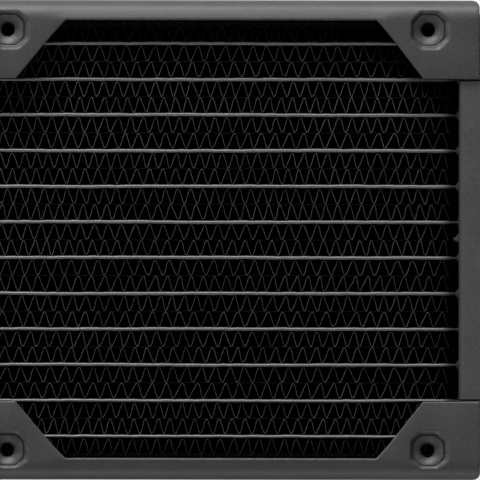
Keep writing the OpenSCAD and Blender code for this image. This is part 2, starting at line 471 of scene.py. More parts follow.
def smooth(value: Array, start: float, end: float) -> Array:
    """Runs from 0 at start to 1 at end as 3t^2 - 2t^3, where t is the clamped share of the way."""
    t = np.clip((value - start) / (end - start), 0.0, 1.0)
    return t * t * (3 - 2 * t)


def wander(seed: int, at: Array, spacing: float, size: float) -> Array:
    """Smooth random wave: cosine blend of random heights that stand spacing apart.

    Args:
        seed: Seed of the random heights.
        at: Positions to read the wave at.
        spacing: Distance between two random heights.
        size: Largest height.

    Returns:
        The heights at those positions.
    """
    knots = np.random.default_rng(seed).uniform(-size, size, 4096)
    place = np.asarray(at) / spacing + 2048
    low = np.floor(place).astype(int)
    share = (1 - np.cos((place - low) * math.pi)) / 2
    return knots[low] * (1 - share) + knots[low + 1] * share


def grid_faces(rows: int, cols: int, wrap: bool = False, close: bool = False) -> Array:
    """Corner numbers of the four-sided faces of a grid.

    Face (i, j) joins points (i, j), (i, j + 1), (i + 1, j + 1) and (i + 1, j), and the last row or column
    is followed by the first where the grid wraps.

    Args:
        rows: Number of rows of points.
        cols: Number of points in a row.
        wrap: True joins the last column to the first.
        close: True joins the last row to the first.

    Returns:
        One row of four numbers for each face.
    """
    i, j = np.indices((rows if close else rows - 1, cols if wrap else cols - 1))
    i2, j2 = (i + 1) % rows, (j + 1) % cols
    return stacked(i * cols + j, i * cols + j2, i2 * cols + j2, i2 * cols + j).reshape(-1, 4)


@dataclass
class Shell:
    """Points and faces of one surface, in millimetres.

    Attributes:
        points: One row of X, Y and Z for each point.
        quads: Four point numbers for each four-sided face.
        tris: Three point numbers for each triangle.
        edge: How far each point lies on an exposed edge, from 0 to 1.
    """

    points: Array
    quads: Array = field(default_factory=lambda: np.zeros((0, 4), int))
    tris: Array = field(default_factory=lambda: np.zeros((0, 3), int))
    edge: Numbers | float = 0.0

    def __post_init__(self) -> None:
        """Flattens the points and spreads the edge values over them."""
        self.edge = np.broadcast_to(self.edge, self.points.shape[:-1]).reshape(-1)
        self.points = self.points.reshape(-1, 3)

    def moved(self, scale: Sequence[float], shift: Sequence[float] = (0, 0, 0)) -> "Shell":
        """Copy scaled about the origin, then shifted, with mirrored faces turned to point outwards."""
        order = slice(None, None, -1 if np.prod(scale) < 0 else 1)
        return Shell(self.points * scale + shift, self.quads[:, order], self.tris[:, order], self.edge)

    @staticmethod
    def swept(rows: Array, caps: Sequence[Sequence[int]], edge: Numbers, turned: bool = False) -> "Shell":
        """Closed bar: a section carried along a path, with both ends capped.

        Args:
            rows: X, Y and Z of the section's points, in one row for each place along the path.
            caps: Faces that close the first row, each of three or four of its points.
            edge: Edge value of each point of a row.
            turned: True if the section runs the other way round the path.

        Returns:
            The bar's shell.
        """
        count, width = rows.shape[:2]
        ends = np.array(caps)
        ends = np.concatenate([ends, ends[:, ::-1] + (count - 1) * width])
        sides = grid_faces(count, width, wrap=True)[:, :: (1 if turned else -1)]
        if ends.shape[1] == 3:
            return Shell(rows, sides, ends, edge)
        return Shell(rows, np.concatenate([sides, ends]), edge=edge)

    @staticmethod
    def joined(shells: Sequence["Shell"]) -> "Shell":
        """Joins shells, with the point numbers of each raised by the count of points before it.

        Args:
            shells: The shells.

        Returns:
            One shell that holds them all.
        """
        starts = np.cumsum([0] + [len(s.points) for s in shells[:-1]])
        return Shell(
            np.concatenate([s.points for s in shells]),
            np.concatenate([s.quads + n for s, n in zip(shells, starts)]),
            np.concatenate([s.tris + n for s, n in zip(shells, starts)]),
            np.concatenate([s.edge for s in shells]),
        )

    def welded(self, grain: float = 0.002) -> "Shell":
        """Copy where points that share a cell of a fine grid are one, without the faces that collapse.

        Args:
            grain: Size of a cell in millimetres.

        Returns:
            The welded shell.
        """
        keys = np.round(self.points / grain).astype(np.int64)
        _, first, back = np.unique(keys, axis=0, return_index=True, return_inverse=True)
        back = back.reshape(-1)
        edge = np.zeros(len(first))
        np.maximum.at(edge, back, self.edge)
        quads, tris = back[self.quads], back[self.tris]
        flat = np.zeros(len(quads), bool)
        kept = np.zeros((len(quads), 3), int)
        for k in range(4):
            same = (quads[:, k] == quads[:, (k + 1) % 4]) & ~flat
            kept[same] = np.delete(quads[same], k, axis=1)
            flat |= same
        tris = np.concatenate([tris, kept[flat]])
        good = np.all(tris != np.roll(tris, -1, axis=1), axis=1)
        return Shell(self.points[first], quads[~flat], tris[good], edge)

    def mesh(self, name: str, sharp: float) -> bpy.types.Mesh:
        """Makes the mesh, smooth but for its sharp edges, with the attribute "edge".

        Args:
            name: Name of the mesh.
            sharp: Angle in degrees past which an edge is shaded sharp.

        Returns:
            The new mesh.
        """
        mesh = bpy.data.meshes.new(name)
        corners = np.concatenate([self.quads.reshape(-1), self.tris.reshape(-1)]).astype(np.int32)
        sizes = np.repeat([4, 3], [len(self.quads), len(self.tris)]).astype(np.int32)
        mesh.vertices.add(len(self.points))
        mesh.vertices.foreach_set("co", (self.points * MM).astype(np.float32).reshape(-1))
        mesh.loops.add(len(corners))
        mesh.loops.foreach_set("vertex_index", corners)
        mesh.polygons.add(len(sizes))
        mesh.polygons.foreach_set("loop_start", (np.cumsum(sizes) - sizes).astype(np.int32))
        mesh.polygons.foreach_set("use_smooth", np.ones(len(sizes), bool))
        mesh.update(calc_edges=True)
        mesh.validate()
        edge = mesh.attributes.new("edge", "FLOAT", "POINT")
        edge.data.foreach_set("value", self.edge.astype(np.float32))
        mesh.set_sharp_from_angle(angle=math.radians(sharp))
        return mesh


def placed(data: bpy.types.ID, material: bpy.types.Material | None = None) -> bpy.types.Object:
    """Makes an object, named after its data, and puts it into the scene.

    Args:
        data: Mesh, lamp or camera.
        material: Its material, if it has one.

    Returns:
        The new object.
    """
    if material:
        data.materials.append(material)
    made = bpy.data.objects.new(data.name, data)
    bpy.context.scene.collection.objects.link(made)
    return made


def dress(node: str, material: bpy.types.Material) -> None:
    """Gives a CAD node that keeps its shape a better material.

    Args:
        node: Name of the node.
        material: Its new material.
    """
    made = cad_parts[node]
    for slot in made.material_slots:
        slot.material = material
    if not made.material_slots:
        made.data.materials.append(material)
    log.info("%s keeps its shape", node)


def eight_sided(angle: Array, width: Array, roundness: Array) -> Array:
    """Distance from the centre to the points of eight-sided rings.

    The distance is the half width over the largest of the eight facet cosines, of which the slanted ones
    are divided by SLACK, softened by a sum of powers of CRISP so that the corners are a little round, and
    blended with a circle of the same width.

    Args:
        angle: Direction of each point of a ring.
        width: Half width of each ring over its upright and level flats, in a column.
        roundness: 0 for eight sides, 1 for a circle, in a column.

    Returns:
        One row of distances for each ring.
    """
    facets = np.abs(np.cos(angle[:, None] - np.arange(4) * math.pi / 4)) / np.array([1, SLACK, 1, SLACK])
    sided = 1 / np.sum(facets**CRISP, axis=-1) ** (1 / CRISP)
    return width * (sided * (1 - roundness) + roundness)


def inside(points: Array, loop: Array) -> Array:
    """Tells which points lie inside an outline: a ray to the right crosses an odd number of its sides.

    Args:
        points: Points to test.
        loop: The outline.

    Returns:
        True for each point inside.
    """
    ends = np.roll(loop, -1, axis=0)
    px, py = points[:, 0, None], points[:, 1, None]
    ax, ay, bx, by = loop[:, 0], loop[:, 1], ends[:, 0], ends[:, 1]
    spans = (ay > py) != (by > py)
    rise = np.where(by == ay, 1e-9, by - ay)
    return (np.sum(spans & (px < ax + (py - ay) * (bx - ax) / rise), axis=1) % 2) == 1


def clear_of(points: Array, line: Array, room: float) -> Array:
    """The points that lie farther than room from every point of a line, which is searched part by part.

    Args:
        points: Points to choose from.
        line: Points to keep clear of.
        room: Least distance that is kept.

    Returns:
        The chosen points.
    """
    for part in np.array_split(line, max(1, len(line) // 200)):
        points = points[np.linalg.norm(points[:, None] - part[None], axis=2).min(axis=1) > room]
    return points


def flat_fill(loops: Sequence[Array], extra: Sequence[Array] = ()) -> tuple[Array, Array]:
    """Triangles of a flat area inside its first loop and outside the others.

    Args:
        loops: Closed outlines, the outer one first, each with one row of two coordinates for each point.
        extra: Sets of further points inside the area that become corners of triangles.

    Returns:
        The points, and the triangles, anticlockwise.
    """
    numbers = np.split(np.arange(sum(map(len, loops))), np.cumsum([len(loop) for loop in loops])[:-1])
    edges = np.concatenate([stacked(n, np.roll(n, -1)) for n in numbers])
    points = np.concatenate([*loops, *extra])
    out = delaunay_2d_cdt([Vector(p) for p in points.tolist()], edges.tolist(), [], 1, 1e-6, True)
    where = np.array([v[:] for v in out[0]])
    tris = np.array([f for f in out[2] if len(f) == 3])
    centre = where[tris].mean(axis=1)
    keep = inside(centre, loops[0])
    for loop in loops[1:]:
        keep &= ~inside(centre, loop)
    return where, tris[keep]


def outline(corners: Sequence[tuple[float, float, float]], step: float) -> Array:
    """Open line with rounded corners and evenly spread points.

    Each corner is cut by an arc whose ends lie radius / tan(half its angle) from it, and the straight parts
    are divided into equal steps. The first and the last corner have no radius.

    Args:
        corners: X, Y and radius of each corner.
        step: Largest distance between two points.

    Returns:
        One row of two coordinates for each point.
    """
    raw = np.array(corners)
    spots, radii = raw[:, :2], raw[:, 2]
    parts = [spots[:1]]
    for k in range(1, len(raw)):
        spot, radius, last = spots[k], radii[k], parts[-1][-1]
        line = spot[None]
        if radius > 0:
            back, ahead = unit(spots[k - 1] - spot), unit(spots[k + 1] - spot)
            half = math.acos(float(back @ ahead)) / 2
            centre = spot + unit(back + ahead) * radius / math.sin(half)
            ends = (spot + way * radius / math.tan(half) - centre for way in (back, ahead))
            a0, a1 = (math.atan2(y, x) for x, y in ends)
            turn = (a1 - a0 + math.pi) % TURN - math.pi
            a = a0 + turn * np.linspace(0, 1, max(3, int(abs(turn) * radius / ARC_STEP) + 2))
            line = centre + radius * stacked(np.cos(a), np.sin(a))
        count = int(np.linalg.norm(line[0] - last) / step)
        share = np.arange(1, count + 1)[:, None] / (count + 1)
        parts += [last + (line[0] - last) * share, line]
    return np.concatenate(parts)


def outward(loop: Array) -> Array:
    """Outward direction at each point of an anticlockwise outline: its neighbours' span turned right."""
    span = unit(np.roll(loop, -1, axis=0) - np.roll(loop, 1, axis=0))
    return stacked(span[:, 1], -span[:, 0])


@dataclass
class Part:
    """One CAD node made anew as one piece. All sizes of parts are in millimetres.

    Attributes:
        node: CAD node that the piece stands for.
        look: Start of the piece's name.
        slot: Name of a finish, which is not used.
        sharp: Angle in degrees past which an edge is shaded sharp.
    """

    node: str
    look: ClassVar[str]
    slot: ClassVar[str]
    sharp: ClassVar[float] = 38.0

    def __post_init__(self) -> None:
        """Reads the node's box from the frame."""
        self.low, self.high = limits(self.node)
        self.middle, self.half = (self.low + self.high) / 2, (self.high - self.low) / 2

    def shell(self) -> Shell:
        """The piece's surface, in place, which each kind of part gives."""
        raise NotImplementedError

    def build(self, material: bpy.types.Material) -> bpy.types.Object:
        """Makes the piece and ties it to the frame.

        Args:
            material: Its material.

        Returns:
            The piece's object, named after its look and its node.
        """
        mesh = self.shell().mesh(self.look + self.node.removeprefix("side_"), self.sharp)
        made = placed(mesh, material)
        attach(made, "root")
        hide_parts(self.node)
        points, faces = len(mesh.vertices), len(mesh.polygons)
        log.info("%s: %d points, %d faces, for %s", made.name, points, faces, self.node)
        return made


# --- side rails ---


class Face(Enum):
    """The two fan mounting faces of the radiator."""

    UPPER = 1
    LOWER = -1


@dataclass
class SideRail(Part):
    """Folded steel side rail with fan plates, tapped seats and end lips.

    Attributes:
        side: 1 for the rail at +Y, -1 for the rail at -Y.
        bay: Length of one fan bay.
        span: Spacing of the fan screws.
        sheet: Thickness of the sheet.
        bend: Outer radius of the long folds next to the fan plates.
        short: Angle in degrees by which the folds stop short along the bare flange.
        calm: Distances from a fan plate's outer corner, along X, between which the short fold fades in.
        flange: Distance from the centre line to the flange's inner edge, where the fold is full.
        plate: Distance from the centre line to a fan plate's inner edge.
        end_in: Reach of an end plate inboard of its screw, along its inner edge.
        end_out: The same where it meets the flange.
        mid_in: Reach of a middle plate past its screw, along its inner edge.
        mid_out: The same where it meets the flange.
        cuts: Corner radius of a plate's outline at its inner edge, and where it meets the flange.
        corner: Radius of the rail's ends seen from above.
        grain: Spacing of the sheet's points along X.
        rim: Radius of the rubbed edges of the sheet.
        upright_rim: The same for the upright edges at the rail's ends.
        seat_shift: Offset of the pressed seat's mouth from its screw along X.
        nut_shift: Offset of the nut's eight sides from its screw along X.
        hollow: Depth at which a seat no longer follows the fold's surface.
        trench: Half width, reach to either side and depth of the trench round part of a seat's floor.
        thread: Minor radius, depth and pitch of the screw's thread.
        threaded: Heights over the face between which the thread runs.
        longer: Length by which the sheet was cut long at +X.
        seat_rings: Half width, roundness, height over the face and wear of each ring, from the rim of a
        seat down to its screw hole; the wear on the sloping rings is also a painted highlight on the cone.
        foot_rings: Half width, roundness and height of each ring of the nut's underside.
    """

    look: ClassVar[str] = "folded_"
    slot: ClassVar[str] = "rail_paint"
    seat_rings: ClassVar[Array] = np.array([
        (6.05, 0, 0, 0), (5.3, 0, 0, 0), (5.08, 0, -0.01, 0.2), (4.92, 0, -0.07, 0.7),
        (4.78, 0, -0.17, 0.8), (4.52, 0, -0.45, 0.8), (4.3, 0, -0.74, 0.8), (4.14, 0, -0.92, 0.6),
        (4.08, 0, -1, 0.2), (4, 0, -1.06, 0.1), (3.77, 0, -1.08, 0.1), (3.71, 0, -1.03, 0.2),
        (3.66, 0.03, -0.98, 0.3), (3.5, 0.3, -1.02, 0.3), (3.25, 0.8, -1.15, 0.4), (2.9, 1, -1.38, 0.6),
        (2.4, 1, -1.72, 0.6), (2.06, 1, -1.96, 0.1), (1.95, 1, -2.06, 0), (1.88, 1, -2.26, 0),
    ])
    foot_rings: ClassVar[Array] = np.array([
        (1.95, 1, -3.88), (2.2, 1, -3.9), (4.5, 0, -3.9), (4.72, 0, -3.8), (4.8, 0, -3.6), (4.8, 0, -1.3),
    ])

    side: int
    bay: float = 120.0
    span: float = 105.0
    sheet: float = 1.0
    bend: float = 5.0
    short: float = 24.0
    calm: tuple[float, float] = (-6.7, 2.0)
    flange: float = 55.45
    plate: float = 40.3
    end_in: float = 1.2
    end_out: float = 12.9
    mid_in: float = 2.1
    mid_out: float = 14.65
    cuts: tuple[float, float] = (0.6, 1.2)
    corner: float = 2.0
    grain: float = 1.25
    rim: float = 0.4
    upright_rim: float = 0.06
    seat_shift: float = 0.5
    nut_shift: float = 0.24
    hollow: float = 0.85
    trench: tuple[float, float, float] = (3.88, 0.13, 0.55)
    thread: tuple[float, float, float] = (1.7, 0.25, 0.7)
    threaded: tuple[float, float] = (-2.4, -3.7)
    longer: float = 0.28

    def __post_init__(self) -> None:
        """Reads the rail's place from the frame and works out its bays and screws."""
        super().__post_init__()
        self.end, self.height = self.half[0], 2 * self.half[2]
        self.half_width = max(abs(self.low[1]), abs(self.high[1]))
        self.fold = self.half_width - self.bend
        self.middle_w = self.bend * QUARTER + self.height / 2 - self.bend
        self.total_w = 2 * self.middle_w
        bays = round(2 * self.end / self.bay)
        starts = [(b - bays / 2) * self.bay for b in range(bays)]
        self.inset, self.screw_y = (self.bay - self.span) / 2, self.span / 2
        self.screws = [start + at for start in starts for at in (self.inset, self.bay - self.inset)]
        self.joints = starts[1:]

    def folded(self, m: Array, short: float) -> tuple[Array, Array, Array, Array]:
        """Upper half of the rail's section: wall, arc and the straight part past the arc, at its own slope.

        On the arc the point is the centre plus radius times the outward direction. Past the arc's end it
        runs on along the tangent, which rises by sin(short) and goes in by cos(short). The arc's centre is
        sunk until the flange's edge ends HAIR below the rail's full height: the tangent is c / (1 -
        sin(short)) long, where c is radius * (short + cos(short) - 1) plus HAIR less the edge's own distance.

        Args:
            m: Distance along the outer face, 0 where a full fold starts.
            short: Angle in radians by which the fold stops short of level.

        Returns:
            Y, Z, and the Y and Z of the outward direction.
        """
        drop = self.bend * (1 - math.cos(short))
        lip = (self.bend * short - drop + HAIR - (self.flange - self.fold)) / (1 - math.sin(short))
        sunk = lip * math.sin(short) - drop + HAIR if short else 0.0
        wall = self.bend * QUARTER + sunk
        turn = np.clip(QUARTER + (m - wall) / self.bend, short, QUARTER)
        past = np.maximum(wall - self.bend * (QUARTER - short) - m, 0)
        y = self.fold + self.bend * np.sin(turn) - past * math.cos(short)
        z = self.height - self.bend - sunk + self.bend * np.cos(turn) + past * math.sin(short)
        return y, np.minimum(z, self.height) - np.maximum(m - wall, 0), np.sin(turn), np.cos(turn)

    def looseness(self, x: Array) -> Array:
        """Share of the shorter fold at each X: 0 beside a fan plate, 1 along the bare flange.

        Args:
            x: Positions along the rail.

        Returns:
            The share at each position.
        """
        away = self.screws[-1] - self.end_out - np.abs(x)
        for joint in self.joints:
            away = np.minimum(away, np.abs(x - joint) - self.inset - self.mid_out)
        return smooth(away, *self.calm)

    def bent(self, flat: Array, depth: Array | float) -> Array:
        """Points of the folded sheet: the flat pattern carried round both folds, then sunk by depth.

        The full and the shorter fold are blended by the share of looseness at each X.

        Args:
            flat: For each point, the distance along the rail and the distance w round the section's outer
                face, 0 where the upper fold starts.
            depth: Distance of each point below the outer face.

        Returns:
            X, Y and Z of each point.
        """
        x, w = np.moveaxis(flat, -1, 0)
        m = self.middle_w - np.abs(w - self.middle_w)
        half = np.where(w > self.middle_w, -1.0, 1.0)
        share = self.looseness(x)
        ends = zip(self.folded(m, 0.0), self.folded(m, math.radians(self.short)))
        y, z, ny, nz = (full * (1 - share) + shorter * share for full, shorter in ends)
        size = np.hypot(ny, nz)
        y, z = y - depth * ny / size, z - depth * nz / size
        return stacked(x, y, self.height / 2 + half * (z - self.height / 2))

    def around(self, y: Array) -> Array:
        """Distance round the section to Y on the upper face: straight, then radius times the arc sine."""
        over = np.clip(y - self.fold, 0, self.bend)
        return np.minimum(y - self.fold, 0) + self.bend * np.arcsin(over / self.bend)

    def pattern(self) -> Array:
        """Outline of the flat pattern: plates and flange on both sides of the wall, with trimmed ends.

        The rail's end is straight until the outline seen from above starts to round, where X falls short as
        the corner's circle does.

        Returns:
            One row of x and w for each point, anticlockwise.
        """
        flange, plate = self.flange - self.fold, self.plate - self.fold
        lead = self.half_width - self.corner
        y = np.linspace(lead, self.half_width, 13)
        end = stacked(self.end - fall(self.corner, y - lead), self.around(y))
        tight, wide = self.cuts
        screw = self.screws[-1]
        right = [(self.end, end[0, 1], 0.0), (self.end, plate, tight), (screw - self.end_in, plate, tight),
                 (screw - self.end_out, flange, wide)]
        inner, outer = self.inset + self.mid_in, self.inset + self.mid_out
        middles = []
        for joint in self.joints[::-1]:
            middles += [(joint + outer, flange, wide), (joint + inner, plate, tight),
                        (joint - inner, plate, tight), (joint - outer, flange, wide)]
        line = outline([*right, *middles, *((-x, w, radius) for x, w, radius in right[::-1])], 0.9)
        side = np.concatenate([end[:0:-1], line, (end * (-1, 1))[1:]])
        other = (side * (1, -1) + (0, self.total_w))[::-1]
        steps = np.linspace(0, 1, 26)[1:-1, None]
        walls = [a[-1] + (b[0] - a[-1]) * steps for a, b in ((side, other), (other, side))]
        return np.concatenate([side, walls[0], other, walls[1]])[::-1]

    def seat(self, x: float, face: Face, angle: Array) -> tuple[Shell, Array]:
        """Pressed eight-sided screw seat over a tapped nut, as rings from the face to the sheet's back.

        A ring's height is its own plus the fold's surface, which fades out from the mouth to the floor. A
        trench runs round the floor's edge on one side. The thread's radius is a triangle wave of the angle's
        share of a turn plus the depth over the pitch, which is a helix.

        Args:
            x: Place of the screw along the rail.
            face: Face that the seat is on.
            angle: Directions of the ring's points.

        Returns:
            The seat's shell, and its outer ring as x and w on the flat pattern.
        """
        def rings(centre: Any, reach: Array, drop: Array) -> Array:
            """Points round an upright axis: the centre plus reach times the cosine and sine of the angle."""
            y = self.screw_y + reach * np.sin(angle)
            return stacked(centre + reach * np.cos(angle), y, self.height + drop)

        width, round_share, drop, worn = self.seat_rings.T[..., None]
        pressed = np.clip(1 + drop / self.hollow, 0, 1)
        shift = self.nut_shift + (self.seat_shift - self.nut_shift) * pressed
        centre = x + shift * (1 - smooth(round_share, 0.3, 1))
        centre[0] = x
        reach = eight_sided(angle, width, round_share)
        over = np.clip(self.screw_y + reach * np.sin(angle) - self.fold, 0, self.bend)
        at, spread, sunk = self.trench
        trench = sunk * (np.abs(width - at) < spread) * smooth(np.sin(angle) * self.side, -0.8, -0.35)
        mouth = rings(centre, reach, drop - trench - fall(self.bend, over) * pressed)
        minor, deep, pitch = self.thread
        down = np.linspace(*self.threaded, 20)[:, None]
        swing = (angle / TURN - down / pitch) % 1
        thread = rings(x, minor + deep * (1 - np.abs(2 * swing - 1)) * smooth(-down, 2.35, 2.6), down)
        width, round_share, drop = self.foot_rings.T[..., None]
        foot = rings(x, eight_sided(angle, width, round_share), drop)
        hole = stacked(mouth[0, :, 0], self.around(mouth[0, :, 1]))
        points = np.concatenate([mouth, thread, foot, self.bent(hole, self.sheet)[None]])
        # The wear column lightens the seat's rings: rubbed wear, and a painted highlight on the cone.
        edge = np.zeros((len(points), 1))
        edge[: len(worn)] = worn
        shell = Shell(points, grid_faces(*points.shape[:2], wrap=True)[:, ::-1], edge=edge)
        if face is Face.LOWER:
            return shell.moved((1, 1, -1), (0, 0, self.height)), hole * (1, -1) + (0, self.total_w)
        return shell, hole

    def lip(self) -> Shell:
        """End lip: the sheet turned round the rail's upright corner, as a thin closed wall.

        Its path is a straight start inside the wall, a quarter circle and a short straight end. Its upper
        and lower edges are bevelled and follow the circles of the folds.

        Returns:
            The lip at the +X end.
        """
        bevel = 0.12
        a = np.linspace(QUARTER, 0, 13)
        x, y = self.end - self.corner, self.half_width - self.corner
        path = np.concatenate([
            [(x - 1.6, self.half_width - 0.02), (x - 0.3, self.half_width - 0.02)],
            stacked(x + self.corner * np.cos(a), y + self.corner * np.sin(a)),
            [(self.end, y - 0.3), (self.end, y - 0.46), (self.end - 0.06, y - 0.5)],
        ])
        ahead = unit(np.gradient(path, axis=0))
        out = stacked(-ahead[:, 1], ahead[:, 0])
        out[-3:] = (1, 0)
        over = np.clip(path[:, 1] - self.fold, 0, self.bend)
        top = self.height - fall(self.bend, over) - 0.05 - 0.35 * smooth(over, 3.9, 2.0)
        inner = path - out * (self.sheet - 0.05)
        section = [(path, top - bevel), (path - out * bevel, top)]
        section += [(inner + out * bevel, top), (inner, top - bevel)]
        section += [(line, self.height - z) for line, z in section[::-1]]
        rows = np.stack([stacked(*line.T, z) for line, z in section], axis=1)
        caps = [(3, 2, 1, 0), (7, 4, 3, 0), (7, 6, 5, 4)]
        return Shell.swept(rows, caps, [0.6, 0, 0, 0, 0, 0, 0, 0.6], turned=True)

    def lattice(self, loop: Array, holes: Sequence[Array]) -> Array:
        """Points of the flat pattern away from its outlines, close together over the folds.

        Args:
            loop: Outline of the pattern.
            holes: Outlines of the seats.

        Returns:
            One row of x and w for each point.
        """
        bends = np.linspace(-0.5, self.bend * QUARTER + 2.6, 15)
        ws = np.concatenate([bends, np.linspace(bends[-1] + 2, self.middle_w, 4)])
        ws = np.unique(np.round(np.concatenate([ws, self.total_w - ws]), 4))
        xs = np.linspace(-self.end, self.end, int(2 * self.end / self.grain))
        points = stacked(*np.meshgrid(xs, ws, indexing="ij")).reshape(-1, 2)
        points = clear_of(points[inside(points, loop)], loop, 0.3)
        for hole in holes:
            points = clear_of(points[~inside(points, hole)], hole, 0.35)
        return points

    def shell(self) -> Shell:
        """Whole rail: outer face, inner face and rounded rim of the folded sheet, its seats and its lips.

        The rim goes round the pattern's outline: a point goes out by radius * sin(a) and down by radius *
        (1 - cos(a)), with a flat part between the two quarter circles.

        Returns:
            The rail's shell, in place.
        """
        true = self.pattern()
        out = outward(true)
        on_wall = (true[:, 1] > self.bend * 1.2) & (true[:, 1] < self.total_w - self.bend * 1.2)
        radius = np.where(on_wall & (np.abs(true[:, 0]) > self.end - 3), self.upright_rim, self.rim)
        loop = true - out * radius[:, None]
        angle = circle(48) + TURN / 96
        seats, holes = zip(*(self.seat(x, face, angle) for x in self.screws for face in Face))
        flat, tris = flat_fill([loop, *holes], [self.lattice(loop, holes)])
        face, back = (self.bent(flat, depth) for depth in (0.0, self.sheet))
        arc = np.linspace(0, QUARTER, 4)
        sink = (1 - np.cos(arc))[:, None] * radius
        reach = np.sin(np.concatenate([arc, arc[::-1]]))[:, None, None]
        # Edge values of the rim, for rubbed wear and the painted highlight along the sheet's edges.
        edge = np.array([0.1, 0.7, 1, 0.6, 0.6, 0.3, 0.2, 0])[:, None] * (radius > 0.1)
        depth = np.concatenate([sink, self.sheet - sink[::-1]])
        rim = Shell(self.bent(loop + out * radius[:, None] * reach, depth),
                    grid_faces(*depth.shape, wrap=True), edge=edge)
        faces = [Shell(face, tris=tris[:, ::-1]), Shell(back, tris=tris)]
        sheet, lip = Shell.joined([*faces, rim, *seats]).welded(), self.lip()
        whole = Shell.joined([sheet, lip, lip.moved((-1, 1, 1))])
        whole.points[:, 0] += self.longer * smooth(whole.points[:, 0], self.end - 4, self.end - 0.5)
        return whole.moved((1, self.side, 1), (self.middle[0], 0, 0))


# --- tanks and ports ---


@dataclass
class Tank(Part):
    """Pressed end tank with rounded corners, open towards the core.

    Attributes:
        side: 1 for the tank at +X, -1 for the tank at -X.
        wall: Thickness of its wall.
        corner: Radius of its upright outer corners.
        edge: Radius of its other edges.
        roll: Length over which its open edge is rolled.
        ports: Y of each round hole in its end wall.
        port_radius: Radius of those holes.
        seam: Y, width, depth and length of the groove pressed into the skin along each fan plate's edge.
    """

    look: ClassVar[str] = "pressed_"
    slot: ClassVar[str] = "tank_paint"

    side: int
    wall: float = 1.0
    corner: float = 6.0
    edge: float = 2.0
    roll: float = 0.45
    ports: Numbers = ()
    port_radius: float = 8.0
    seam: tuple[float, float, float, float] = (39.68, 0.5, 0.92, 4.9)

    def __post_init__(self) -> None:
        """Reads the tank's place from the frame and works out the outlines of its port holes."""
        super().__post_init__()
        self.depth = 2 * self.half[0]
        around = stacked(np.cos(circle(48)), np.sin(circle(48))) * self.port_radius
        self.holes = [around + (y, 0) for y in self.ports]

    def rings(self, inset: float, along: Numbers) -> Array:
        """Rings of the tank's skin, moved in by inset: four quarter circles, joined by straight sides.

        At a distance t before the end, a side with rounding r stands in by the fall of a circle at r - t.
        The grooves beside the fan plates have sloping sides and a flat floor. They sink the outer skin by
        their depth, and a skin under it the less the nearer it lies to the inner one.

        Args:
            inset: Distance below the outer skin.
            along: Distance of each ring from the open end.

        Returns:
            X, Y and Z of each ring's points, from the +Y side up and round.
        """
        x = np.array(along)[:, None]
        left = np.maximum(self.depth - inset - x, 0)
        big, small = self.corner - inset, self.edge - inset
        in_z = fall(small, np.maximum(small - left, 0))
        radius = np.maximum(small - in_z, 0.02)
        half_y = self.half[1] - inset - fall(big, np.maximum(big - left, 0))
        half_z = self.half[2] - inset - in_z
        start, width, deep, length = self.seam
        near = np.array([-0.3, -0.1, 0, width / 4, width / 2, width * 0.75, width, width + 0.1]) + start
        places = np.concatenate([near, -near, np.linspace(-50, 50, 34)]) / (self.half[1] - self.edge)
        shares = np.sort(places)[::-1]
        parts = []
        for k, (sy, sz) in enumerate(((1, 1), (-1, 1), (-1, -1), (1, -1))):
            a = np.linspace(0, QUARTER, 7) + k * QUARTER
            y = sy * (half_y - radius) + radius * np.cos(a)
            parts.append(stacked(x, y, sz * (half_z - radius) + radius * np.sin(a)))
            if sy == sz:
                parts.append(stacked(x, (half_y - radius) * shares * sy, sz * half_z))
        points = np.concatenate(parts, axis=1)
        off = (np.abs(points[..., 1]) - start) / width - 0.5
        sunk = deep * np.clip(1.25 - 2.5 * np.abs(off), 0, 1) * (1 - smooth(x, length, length + 0.5))
        points[..., 2] -= np.sign(points[..., 2]) * sunk * (1 - inset / self.wall)
        return points

    def cap(self, ring: Array, out: bool) -> Shell:
        """Flat end wall inside a ring, with the port holes left open, that faces out or towards the core."""
        flat, tris = flat_fill([ring[:, 1:], *self.holes])
        return Shell(stacked(ring[0, 0], *flat.T), tris=tris if out else tris[:, ::-1])

    def shell(self) -> Shell:
        """Outer skin, rolled open edge, inner skin, both end walls and the walls of the port holes.

        Returns:
            The tank's shell, in place.
        """
        bow = self.depth - self.corner + self.corner * np.sin(np.linspace(0, QUARTER, 22))
        outer_x = np.concatenate([np.linspace(self.roll, self.depth - self.corner - 0.3, 5), bow])
        outer = self.rings(0.0, outer_x)
        inner = self.rings(self.wall, np.minimum(outer_x, self.depth - self.wall))
        rolled = [
            self.rings(self.wall / 2 - self.wall / 2 * math.sin(a), [self.roll - self.roll * math.cos(a)])
            for a in np.linspace(QUARTER, -QUARTER, 9)[1:-1]
        ]
        rings = np.concatenate([outer[::-1], *rolled, inner])
        worn = np.zeros((len(rings), 1))
        worn[len(outer) - 1: len(outer) + 7, 0] = [0.1, 0.2, 0.3, 0.3, 0.2, 0.1, 0.1, 0]
        skin = Shell(rings, grid_faces(*rings.shape[:2], wrap=True)[:, ::-1], edge=worn)
        ends = np.array([self.depth, self.depth - self.wall])[:, None]
        bores = [Shell(stacked(ends, *hole.T), grid_faces(2, len(hole), wrap=True)) for hole in self.holes]
        whole = Shell.joined([skin, self.cap(outer[-1], True), self.cap(inner[-1], False), *bores]).welded()
        open_x = self.low[0] if self.side > 0 else self.high[0]
        return whole.moved((self.side, 1, 1), (open_x, 0, self.middle[2]))


